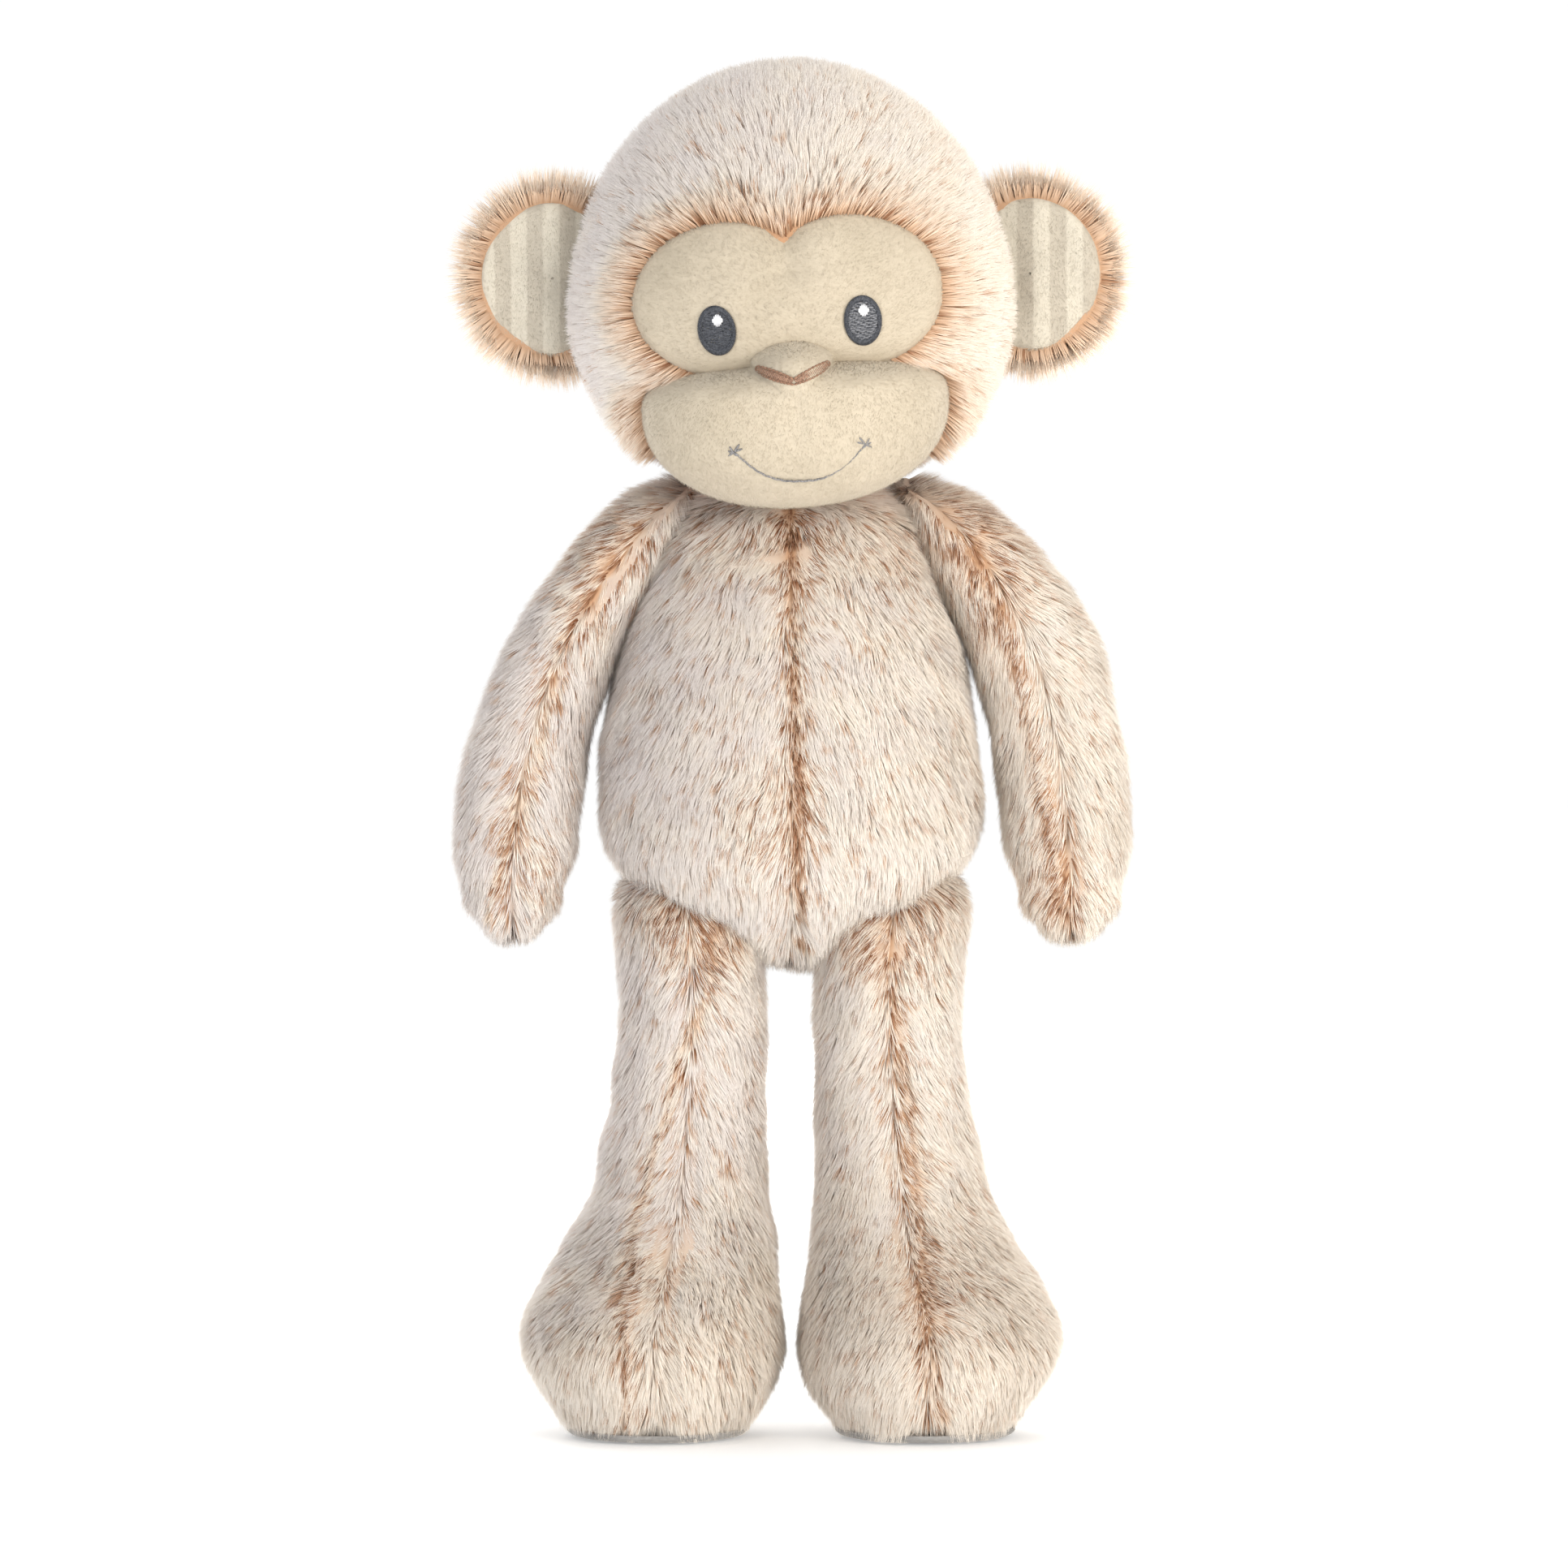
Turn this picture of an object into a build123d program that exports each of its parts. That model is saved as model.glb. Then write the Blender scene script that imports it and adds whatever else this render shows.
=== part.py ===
"""A stuffed monkey, standing, built as its sewn fabric panels round their stuffing.

Frame: millimetres, +Z up, the face looks along -Y, and the toy's own left is +X. Each panel is a closed
solid as thick as its fabric with the pile lying down. The panels of one limb meet at their seams, and the
stuffing fills what is inside them. The sizes below are measured from the vertical axis of the torso and
head. The finished pieces are written with the origin on the floor under the middle of the toy's box.

The head, limbs and ears are sewn on, and flex at their seams:
- the head turns on the wad of stuffing in the neck, and nods over it
- each arm swings and lifts about the wad in its ball-shaped top, which sits in the armhole
- each leg folds forward about the crease in front of the hip, so that the toy sits
- each ear folds about its root in the head's side seam
"""

import os

from build123d import *

# Fabrics and gaps
PILE = 5.0  # long-pile fabric, the pile lying down
VELOUR = 2.5  # short-pile fabric of the face, ears and soles
THREAD = 0.8  # how proud the embroidery stands
SEAM_GAP = 0.8  # room between bodies that flex against each other

MIDDLE_Y = -6.25  # the middle of the toy's depth, from its nostrils to the back of its head

# Torso: a pear, by its half-widths from the crotch up to the neck
TORSO_BASE, TORSO_TOP = 115.0, 221.0
TORSO_RINGS = [  # half-width, height
    (9.0, TORSO_BASE),
    (19.0, 121.5),
    (31.0, 128.8),
    (40.5, 137.5),
    (45.5, 150.0),
    (45.0, 167.0),
    (42.0, 184.5),
    (37.0, 199.0),
    (31.0, 211.0),
    (22.0, TORSO_TOP),
]
TORSO_DEPTH = 0.80  # its depth against its width

# Head: an egg, placed at the height where it is widest
HEAD_AT = (0.0, 0.0, 268.0)
HEAD_WIDTH, HEAD_DEPTH, HEAD_RISE, HEAD_DROP = 54.0, 48.0, 60.5, 47.0
HEAD_OPENING_Z = 226.0  # the head's skin is gathered round the neck here
NECK_AT = (0.0, 4.0, 229.0)
NECK_R = 16.0
SIDE_SEAM_Y = 2.0  # the front and back panels of the head meet here

# Face, measured from its own centre on the head's midline, then rolled as it is sewn
FACE_Z = 259.9
FACE_ROLL = 4.0
MASK_LOBE_X, MASK_LOBE_Z, MASK_LOBE_RX, MASK_LOBE_RZ = 15.5, 9.0, 20.8, 22.3
MUZZLE_AT, MUZZLE_RX, MUZZLE_RY, MUZZLE_RZ = (0.0, -36.0, -19.9), 36.5, 24.5, 18.6
NOSE_AT, NOSE_RX, NOSE_RY, NOSE_RZ = (0.0, -50.0, -5.5), 10.5, 10.0, 7.5
EYE_X, EYE_Z, EYE_RX, EYE_RZ = 17.2, 4.4, 4.5, 5.9
GLINT_X, GLINT_Z, GLINT_R = 17.6, 6.6, 1.3
NOSTRIL_X, NOSTRIL_Z, NOSTRIL_RX, NOSTRIL_RZ, NOSTRIL_TILT = 4.6, -7.2, 4.4, 1.7, 24.0
SMILE_HALF, SMILE_Z, SMILE_SAG, SMILE_WIDE = 16.2, -25.0, 7.2, 1.1

# Ears: a disc in the head's side seam
EAR_X, EAR_Z = 57.0, 276.7
EAR_LINING_R, EAR_BACK_R = 17.6, 22.5
EAR_FRONT_Y, EAR_REAR_Y = -4.0, 5.0
EAR_ROOT_GAP = 2.2  # more room than elsewhere, as the root's corners swing towards the head

# Arms: level rings from the top of the shoulder down: centre x, z, half-width, half-depth
SHOULDER = (37.0, 0.0, 208.0)
SHOULDER_R, SHOULDER_WAD_R = 12.8, 6.0
ARM_RINGS = [
    (41.0, 214.5, 8.5, 8.5),
    (43.8, 208.0, 12.5, 12.5),
    (48.5, 199.0, 13.0, 13.5),
    (54.0, 188.0, 13.0, 14.0),
    (60.6, 168.0, 14.6, 15.0),
    (64.0, 151.5, 15.4, 15.5),
    (65.2, 140.5, 14.8, 15.0),
    (65.8, 131.5, 11.6, 12.0),
]
ARM_TIP = (66.4, 0.0, 131.5)
ARM_TIP_RX, ARM_TIP_RY, ARM_TIP_DROP = 11.6, 12.0, 10.0
ARM_SEAM = ((64.0, 122.0), (44.0, 215.0))  # x, z of the front seam at its lower and upper ends
ARM_SCOOP = [(38.0, 12.0), (41.0, 15.5), (42.7, 19.0), (44.9, 29.0), (46.2, 41.0), (46.4, 58.0), (46.4, 100.0)]  # x, radius

# Legs: level rings from the sole's edge up: centre x, centre y, z, half-width, half-depth
LEG_RINGS = [
    (32.0, -12.0, VELOUR, 21.5, 26.5),
    (32.3, -12.2, 8.0, 26.5, 32.5),
    (32.8, -12.5, 15.0, 29.6, 36.0),
    (33.2, -12.5, 23.0, 31.0, 37.5),
    (32.6, -11.5, 31.5, 30.4, 36.0),
    (30.6, -8.5, 39.0, 27.8, 32.0),
    (28.3, -4.0, 47.5, 24.8, 26.5),
    (26.3, -0.5, 57.0, 22.2, 22.0),
    (24.8, 0.5, 70.0, 20.6, 20.0),
    (23.8, 0.0, 86.0, 20.0, 19.5),
    (23.6, -1.0, 102.0, 19.2, 19.5),
    (24.0, -1.5, 117.0, 19.0, 19.5),
    (25.0, -1.0, 128.0, 18.0, 18.5),
    (27.0, 0.0, 138.0, 13.0, 14.0),
]
LEG_SEAM = ((35.0, 0.0), (23.0, 138.0))  # x, z of the front seam at its lower and upper ends
FAR = 200.0  # larger than any part, for cutting tools


def egg(place, width, depth, rise, drop, grow=0.0):
    """A smooth egg, grown all round, from quarter ellipses turned about Z."""
    with BuildPart() as form:
        with BuildSketch(Plane.XZ):
            with BuildLine():
                EllipticalCenterArc((0, 0), width + grow, rise + grow, start_angle=0, arc_size=90)
                EllipticalCenterArc((0, 0), width + grow, drop + grow, start_angle=270, arc_size=90)
                Line((0, rise + grow), (0, -drop - grow))
            make_face()
        revolve(axis=Axis.Z)
        scale(by=(1, (depth + grow) / (width + grow), 1))
    return form.part.moved(Location(place))


def head_form(grow):
    """The head's egg."""
    return egg(HEAD_AT, HEAD_WIDTH, HEAD_DEPTH, HEAD_RISE, HEAD_DROP, grow)


def on_face(solid):
    """The solid moved from the face's own frame to where the face is sewn on the head."""
    return solid.moved(Location((0, 0, FACE_Z), (0, -FACE_ROLL, 0)))


def muzzle_form(grow):
    """The muzzle, with the nose bump on its upper edge."""
    with BuildPart() as form:
        add(egg(MUZZLE_AT, MUZZLE_RX, MUZZLE_RY, MUZZLE_RZ, MUZZLE_RZ, grow))
        add(egg(NOSE_AT, NOSE_RX, NOSE_RY, NOSE_RZ, NOSE_RZ, grow))
    return on_face(form.part)


def face_cutter(outline, behind, side=1):
    """A cutter through everything in front of y = behind, with the outline seen from the front."""
    with BuildPart() as cutter:
        with BuildSketch(Plane.XZ.offset(-behind)):
            outline(side)
        extrude(amount=FAR)
    return on_face(cutter.part)


def mask_outline(_):
    with Locations((-MASK_LOBE_X, MASK_LOBE_Z), (MASK_LOBE_X, MASK_LOBE_Z)):
        Ellipse(MASK_LOBE_RX, MASK_LOBE_RZ)


def eye_outline(side):
    with Locations((side * EYE_X, EYE_Z)):
        Ellipse(EYE_RX, EYE_RZ)


def glint_outline(side):
    with Locations((side * GLINT_X, GLINT_Z)):
        Circle(GLINT_R)


def nostril_outline(side):
    with Locations(Location((side * NOSTRIL_X, NOSTRIL_Z), side * NOSTRIL_TILT)):
        Ellipse(NOSTRIL_RX, NOSTRIL_RZ)


def smile_outline(_):
    ends = ((-SMILE_HALF, SMILE_Z), (SMILE_HALF, SMILE_Z))
    SlotArc(Edge.make_three_point_arc(ends[0], (0, SMILE_Z - SMILE_SAG), ends[1]), SMILE_WIDE)


def embroidery(outline, under, over, side=1):
    """Thread standing proud of the face's fabric, between two nested forms."""
    with BuildPart() as thread:
        add(over)
        add(under, mode=Mode.SUBTRACT)
        add(face_cutter(outline, MUZZLE_AT[1], side), mode=Mode.INTERSECT)
    return thread.part


def torso_form(grow):
    """The torso's pear shape, lofted through level rings, grown or shrunk about its middle."""
    half = (TORSO_TOP - TORSO_BASE) / 2
    middle = TORSO_BASE + half
    with BuildPart() as form:
        for r, z in TORSO_RINGS:
            with BuildSketch(Plane.XY.offset(middle + (z - middle) * (half + grow) / half)):
                Ellipse(r + grow, r * TORSO_DEPTH + grow)
        loft()
    return form.part


def arm_form(grow):
    """The toy's left arm, lofted through its rings, with a ball at the shoulder and a round hand."""
    with BuildPart() as form:
        for x, z, rx, ry in ARM_RINGS:
            with BuildSketch(Plane.XY.offset(z)):
                with Locations((x, 0)):
                    Ellipse(rx + grow, ry + grow)
        loft()
        with Locations(SHOULDER):
            Sphere(SHOULDER_R + grow)
        add(egg(ARM_TIP, ARM_TIP_RX, ARM_TIP_RY, ARM_TIP_DROP, ARM_TIP_DROP, grow))
    return form.part


def leg_form(grow):
    """The toy's left leg and foot, lofted through its rings."""
    with BuildPart() as form:
        for x, y, z, rx, ry in LEG_RINGS:
            with BuildSketch(Plane.XY.offset(z)):
                with Locations((x, y)):
                    Ellipse(rx + grow, ry + grow)
        loft()
    return form.part


def ear_disc(radius, front, rear):
    """A flat disc of the toy's left ear, its rims rounded."""
    round_off = (rear - front) * 0.4
    with BuildPart() as disc:
        with BuildSketch(Plane.XZ.offset(-front)):
            with Locations((EAR_X, EAR_Z)):
                Circle(radius)
        extrude(amount=front - rear)
        fillet(disc.edges().filter_by(GeomType.CIRCLE), round_off)
        add(ear_clearance, mode=Mode.SUBTRACT)
    return disc.part


def seam_plane(low, high):
    """The plane of a limb's seams, through two points given as x and z, its normal facing outwards."""
    return Plane(origin=(low[0], 0, low[1]), x_dir=(0, 1, 0), z_dir=(high[1] - low[1], 0, low[0] - high[0]))


def write(name, solid):
    """Label a finished piece and write it under its node's name, in the toy's own frame."""
    placed = solid.moved(Location((0, -MIDDLE_Y, 0)))
    placed.label = name
    export_step(placed, f"parts/{name}.step")


def write_both(name, solid):
    """Write the toy's left piece, and its mirror image for the right."""
    write(f"left_{name}", solid)
    with BuildPart() as right:
        add(mirror(solid, about=Plane.YZ, mode=Mode.PRIVATE))
    write(f"right_{name}", right.part)


os.makedirs("parts", exist_ok=True)

# Forms that several pieces are cut from
head_skin = head_form(0)
head_core = head_form(-PILE)
mask_skin = head_form(THREAD - VELOUR)
mask_thread = head_form(2 * THREAD - VELOUR)
glint_thread = head_form(2.5 * THREAD - VELOUR)
muzzle_skin = muzzle_form(0)
muzzle_thread = muzzle_form(THREAD)
muzzle_core = muzzle_form(-VELOUR)
mask_window = face_cutter(mask_outline, 0)
torso_skin = torso_form(0)
torso_core = torso_form(-PILE)
torso_room = torso_form(SEAM_GAP)
arm_skin = arm_form(0)
arm_core = arm_form(-PILE)
leg_skin = leg_form(0)
leg_core = leg_form(-PILE)
ear_clearance = head_form(EAR_ROOT_GAP)

with BuildPart() as neck_room:  # below the gathered edge, behind the chin, and the hollow for the neck's wad
    with Locations((0, 0, HEAD_OPENING_Z)):
        Box(FAR, FAR, FAR, align=(Align.CENTER, Align.CENTER, Align.MAX))
    add(muzzle_skin, mode=Mode.SUBTRACT)
    with Locations(NECK_AT):
        Sphere(NECK_R + SEAM_GAP)

# Head
with BuildPart() as head_shell:
    add(head_skin)
    add(head_core, mode=Mode.SUBTRACT)
    add(neck_room.part, mode=Mode.SUBTRACT)

with BuildPart() as head_front_panel:
    add(head_shell.part)
    split(bisect_by=Plane.XZ.offset(-SIDE_SEAM_Y), keep=Keep.TOP)
    add(mask_window, mode=Mode.SUBTRACT)
    add(muzzle_skin, mode=Mode.SUBTRACT)
write("head_front_panel", head_front_panel.part)

with BuildPart() as head_back_panel:
    add(head_shell.part)
    split(bisect_by=Plane.XZ.offset(-SIDE_SEAM_Y), keep=Keep.BOTTOM)
    split(bisect_by=Plane.YZ, keep=Keep.TOP)
write_both("head_back_panel", head_back_panel.part)

with BuildPart() as face_mask:
    add(mask_skin)
    add(head_core, mode=Mode.SUBTRACT)
    add(mask_window, mode=Mode.INTERSECT)
    add(muzzle_skin, mode=Mode.SUBTRACT)
write("face_mask", face_mask.part)

with BuildPart() as muzzle_panel:
    add(muzzle_skin)
    add(muzzle_core, mode=Mode.SUBTRACT)
    add(head_core, mode=Mode.SUBTRACT)
write("muzzle_panel", muzzle_panel.part)

with BuildPart() as head_stuffing:
    add(head_core)
    add(muzzle_core)
    add(neck_room.part, mode=Mode.SUBTRACT)
write("head_stuffing", head_stuffing.part)

for side_name, side in (("left", 1), ("right", -1)):
    write(f"{side_name}_eye", embroidery(eye_outline, mask_skin, mask_thread, side))
    write(f"{side_name}_eye_glint", embroidery(glint_outline, mask_thread, glint_thread, side))
    write(f"{side_name}_nostril", embroidery(nostril_outline, muzzle_skin, muzzle_thread, side))
write("smile", embroidery(smile_outline, muzzle_skin, muzzle_thread))

with BuildPart() as neck_stuffing:
    with Locations(NECK_AT):
        Sphere(NECK_R)
    with Locations((0, 0, TORSO_TOP + SEAM_GAP)):
        Box(FAR, FAR, FAR, align=(Align.CENTER, Align.CENTER, Align.MAX), mode=Mode.SUBTRACT)
write("neck_stuffing", neck_stuffing.part)

# Ears
lining_rear = EAR_FRONT_Y + VELOUR
padding_rear = EAR_REAR_Y - PILE
write_both("ear_lining", ear_disc(EAR_LINING_R, EAR_FRONT_Y, lining_rear))
write_both("ear_padding", ear_disc(EAR_LINING_R, lining_rear, padding_rear))
write_both("ear_back", ear_disc(EAR_BACK_R, padding_rear, EAR_REAR_Y))

# Torso
with BuildPart() as armholes:
    for side in (1, -1):
        with Locations((side * SHOULDER[0], SHOULDER[1], SHOULDER[2])):
            Sphere(SHOULDER_R + SEAM_GAP)

for part_name, keep in (("front", Keep.TOP), ("back", Keep.BOTTOM)):
    with BuildPart() as torso_panel:
        add(torso_skin)
        add(torso_core, mode=Mode.SUBTRACT)
        add(armholes.part, mode=Mode.SUBTRACT)
        split(bisect_by=Plane.XZ, keep=keep)
        split(bisect_by=Plane.YZ, keep=Keep.TOP)
    write_both(f"torso_{part_name}_panel", torso_panel.part)

with BuildPart() as torso_stuffing:
    add(torso_core)
    add(armholes.part, mode=Mode.SUBTRACT)
write("torso_stuffing", torso_stuffing.part)

# Arms
with BuildPart() as arm_room:  # where the torso's side is, at any angle of the arm's swing
    with BuildSketch(Plane.XZ.offset(-SHOULDER[1])):
        with BuildLine():
            points = [(x, SHOULDER[2] - r) for x, r in ARM_SCOOP]
            Polyline((-FAR, points[0][1]), *points, (-FAR, points[-1][1]), close=True)
        make_face()
    revolve(axis=Axis(SHOULDER, (1, 0, 0)))
    with Locations(SHOULDER):
        Sphere(SHOULDER_R, mode=Mode.SUBTRACT)

with BuildPart() as shoulder_stuffing:
    with Locations(SHOULDER):
        Sphere(SHOULDER_WAD_R)
write_both("shoulder_stuffing", shoulder_stuffing.part)

for part_name, keep in (("outer", Keep.TOP), ("inner", Keep.BOTTOM)):
    with BuildPart() as arm_panel:
        add(arm_skin)
        split(bisect_by=seam_plane(*ARM_SEAM), keep=keep)
        add(arm_core, mode=Mode.SUBTRACT)
        add(arm_room.part, mode=Mode.SUBTRACT)
    write_both(f"arm_{part_name}_panel", arm_panel.part)

with BuildPart() as arm_stuffing:
    add(arm_core)
    add(arm_room.part, mode=Mode.SUBTRACT)
    with Locations(SHOULDER):
        Sphere(SHOULDER_WAD_R + SEAM_GAP, mode=Mode.SUBTRACT)
write_both("arm_stuffing", arm_stuffing.part)

# Legs
for part_name, keep in (("outer", Keep.TOP), ("inner", Keep.BOTTOM)):
    with BuildPart() as leg_panel:
        add(leg_skin)
        add(leg_core, mode=Mode.SUBTRACT)
        add(torso_room, mode=Mode.SUBTRACT)
        split(bisect_by=seam_plane(*LEG_SEAM), keep=keep)
    write_both(f"leg_{part_name}_panel", leg_panel.part)

with BuildPart() as leg_stuffing:
    add(leg_core)
    add(torso_room, mode=Mode.SUBTRACT)
write_both("leg_stuffing", leg_stuffing.part)

with BuildPart() as sole:
    sole_x, sole_y, _, sole_rx, sole_ry = LEG_RINGS[0]
    with BuildSketch():
        with Locations((sole_x, sole_y)):
            Ellipse(sole_rx, sole_ry)
    extrude(amount=VELOUR)
    fillet(sole.edges().group_by(Axis.Z)[0], VELOUR / 2)
write_both("sole", sole.part)
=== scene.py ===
"""The stuffed monkey's looks: long frosted pile, velboa face, striped ears and embroidery.

Lengths are in millimetres until a mesh is made, in the CAD model's frame: +Z up, the face looks along -Y.
Every furry panel is one mesh: a skin, and on it some tens of thousands of tapered tufts of pile that lie
along the nap. A tuft carries two numbers in its UV layer, its tint and the distance from its root, and
the pile's material is worked out from those two alone.
"""

import math

import bpy
import numpy as np
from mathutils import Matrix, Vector


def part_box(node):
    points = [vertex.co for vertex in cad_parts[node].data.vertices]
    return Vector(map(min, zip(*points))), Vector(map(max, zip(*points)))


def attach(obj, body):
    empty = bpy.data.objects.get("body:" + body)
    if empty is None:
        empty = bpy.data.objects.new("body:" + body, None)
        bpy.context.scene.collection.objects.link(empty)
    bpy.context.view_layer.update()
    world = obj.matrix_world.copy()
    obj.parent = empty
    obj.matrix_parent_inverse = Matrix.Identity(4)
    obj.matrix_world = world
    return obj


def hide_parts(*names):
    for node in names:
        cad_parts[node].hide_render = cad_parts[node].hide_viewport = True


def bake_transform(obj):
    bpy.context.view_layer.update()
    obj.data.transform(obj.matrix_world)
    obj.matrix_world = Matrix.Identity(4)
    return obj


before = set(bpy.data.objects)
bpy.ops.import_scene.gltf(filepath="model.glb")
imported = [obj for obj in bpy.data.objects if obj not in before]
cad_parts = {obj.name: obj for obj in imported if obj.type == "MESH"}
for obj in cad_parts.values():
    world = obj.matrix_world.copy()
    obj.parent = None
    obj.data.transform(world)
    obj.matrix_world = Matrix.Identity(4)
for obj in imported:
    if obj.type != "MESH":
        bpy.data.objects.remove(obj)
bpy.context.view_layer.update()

MM = 0.001
UV_LAYER = "OFBake"  # the pile's tint and distance from the root

torso_low, torso_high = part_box("torso_stuffing")
MID_Y = (torso_low.y + torso_high.y) / 2 / MM  # the vertical axis of the torso and head

# Pile: a tuft's length and width, tufts to a square millimetre, and how steeply they stand off the skin
PILE_LENGTH, PILE_WIDTH, PILE_DENSITY, PILE_RISE = 7.0, 0.33, 8.6, 0.36
SKIN_DEPTH = 3.3  # from the lying pile's surface down to the skin
CLUMP, GATHER = 1.9, 0.42  # the size of a lock, and how far its tufts' tips are drawn together
SOFTNESS = 0.75  # how far a tuft is shaded like the skin under it, as light that scatters in the pile does
STRAY, WANDER = 0.13, 0.26  # how far tufts turn aside one by one, and together over a centimetre
OPEN_LOCKS = 0.231  # share of the locks that part and show the dye at their roots
FLECK, FLECK_LENGTH = 0.72, 0.82  # the size of a dark fleck in a parted lock, and how long its tufts are
ROOT_AT, SKIN_AT, TIP_AT = 0.04, 0.12, (0.72, 0.99)  # places along a tuft, in its UV: 0 is dyed, 1 is pale
SEAM_WIDTH, SEAM_DEPTH = 3.2, 2.3  # half the width of the groove along a seam, and how deep it is drawn in

# The short nap of velboa and velour, with the same meanings
NAP_LENGTH, NAP_WIDTH, NAP_DENSITY, NAP_RISE = 1.25, 0.20, 6.5, 0.38
NAP_CLUMP, NAP_GATHER, NAP_SOFTNESS = 1.6, 0.12, 0.4

# Tints of pile, as places across the pile's palette
COOL, WARM, TAN, ORANGE, BROWN, DEEP = 0.10, 0.30, 0.50, 0.70, 0.90, 0.99

# Head: half-width, half-depth, rise and drop from where it is widest
HEAD_Z, HEAD_W, HEAD_D, HEAD_RISE, HEAD_DROP = 267.0, 55.3, 49.0, 63.0, 47.0
HEAD_TAPER = 1.84  # below the widest place the outline is straighter than an ellipse
FACE_Z, FACE_ROLL = 259.9, math.radians(4)
LOBE_X, LOBE_Z, LOBE_RX, LOBE_RZ = 14.0, 11.6, 22.3, 18.0
MUZZLE_Z, MUZZLE_W, MUZZLE_UP, MUZZLE_DOWN = -14.0, 36.3, 10.7, 24.1
MUZZLE_Y, MUZZLE_FRONT, MUZZLE_BLUNT = -34.0, 24.0, 0.92
NOSE_RISE, NOSE_W = 5.6, 10.5  # the bump on the muzzle's upper edge


# ---------------------------------------------------------------- numbers and grids


def unit(v):
    return v / np.maximum(np.linalg.norm(v, axis=-1, keepdims=True), 1e-9)


def waves(p, size, seed, octaves=3):
    """Smooth noise between about -1 and 1 at each point, its lumps about size across."""
    r = np.random.default_rng(seed)
    total = np.zeros(p.shape[:-1])
    for octave in range(octaves):
        for _ in range(5):
            k = unit(r.normal(size=3)) * 2 * math.pi / (size * r.uniform(0.8, 1.5)) * 1.9**octave
            total += np.sin(p @ k + r.uniform(0, 2 * math.pi)) / 1.9**octave
    return total / 3.2


def smooth_rows(rows, count):
    """Rows of numbers joined by a smooth curve, and resampled evenly along it."""
    rows = np.array(rows, float)
    slope = np.gradient(rows, axis=0)
    t = np.linspace(0, len(rows) - 1.0001, count * 4)
    i = t.astype(int)
    f = (t - i)[:, None]
    a, b, da, db = rows[i], rows[i + 1], slope[i], slope[i + 1]
    fine = a * (1 + 2 * f) * (1 - f) ** 2 + b * f**2 * (3 - 2 * f)
    fine = fine + da * f * (1 - f) ** 2 - db * f**2 * (1 - f)
    run = np.concatenate([[0], np.cumsum(np.linalg.norm(np.diff(fine, axis=0), axis=1))])
    even = np.linspace(0, run[-1], count)
    return np.stack([np.interp(even, run, fine[:, c]) for c in range(fine.shape[1])], axis=1)


def capped(row, drop):
    """Rings that close a tube past its last ring (x, y, z, rx, ry), round like an egg's end."""
    x, y, z, rx, ry = row
    rings = []
    for k in range(1, 6):
        turn = math.pi / 2 * k / 5
        shrink = math.cos(turn)
        rings.append((x, y, z - drop * math.sin(turn), max(rx * shrink, 0.05), max(ry * shrink, 0.05)))
    return rings


def tube(rings, rows, columns):
    """A grid of points down a tube of rings. Column 0 is its front, and columns run towards +X."""
    ring = smooth_rows(rings, rows)
    turn = np.linspace(0, 2 * math.pi, columns + 1)
    x = ring[:, 0, None] + ring[:, 3, None] * np.sin(turn)
    y = ring[:, 1, None] - ring[:, 4, None] * np.cos(turn)
    z = np.repeat(ring[:, 2, None], columns + 1, axis=1)
    return np.stack([x, y, z], axis=2)


def across_grid(p):
    """The direction of the columns at each point of a grid whose first and last columns meet."""
    across = np.gradient(p, axis=1)
    across[:, 0] = across[:, -1] = p[:, 1] - p[:, -2]
    return across


def grid_normals(p):
    """The outward normals of a closed grid whose rows run down and columns run towards +X at the front."""
    n = np.cross(np.gradient(p, axis=0), across_grid(p))
    n[0], n[-1] = n[1], n[-2]
    return unit(n)


def along_surface(v, n):
    """The part of a direction that lies in the surface."""
    return unit(v - np.sum(v * n, axis=-1, keepdims=True) * n)


# ---------------------------------------------------------------- meshes


def mesh_piece(name, verts, faces, material, uv=None, normals=None):
    """A mesh object from points in millimetres and an array of faces, or several of them."""
    faces = faces if isinstance(faces, list) else [faces]
    loops = np.concatenate([f.ravel() for f in faces]).astype(np.int32)
    sizes = np.concatenate([np.full(len(f), f.shape[1]) for f in faces])
    starts = np.concatenate([[0], np.cumsum(sizes)[:-1]]).astype(np.int32)
    mesh = bpy.data.meshes.new(name)
    mesh.vertices.add(len(verts))
    mesh.vertices.foreach_set("co", (np.asarray(verts) * MM).astype(np.float32).ravel())
    mesh.loops.add(len(loops))
    mesh.loops.foreach_set("vertex_index", loops)
    mesh.polygons.add(len(sizes))
    mesh.polygons.foreach_set("loop_start", starts)
    mesh.update(calc_edges=True)
    if uv is not None:
        layer = mesh.uv_layers.new(name=UV_LAYER)
        layer.data.foreach_set("uv", np.asarray(uv)[loops].astype(np.float32).ravel())
    mesh.polygons.foreach_set("use_smooth", np.ones(len(sizes), bool))
    mesh.materials.append(material)
    mesh.validate()
    if normals is not None:
        mesh.normals_split_custom_set_from_vertices(normals)
    piece = bpy.data.objects.new(name, mesh)
    bpy.context.scene.collection.objects.link(piece)
    return piece


def grid_faces(rows, columns):
    """Quads of a grid of rows by columns points."""
    i = np.arange(rows - 1)[:, None] * columns + np.arange(columns - 1)
    return np.stack([i, i + columns, i + columns + 1, i + 1], axis=2).reshape(-1, 4)


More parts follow.
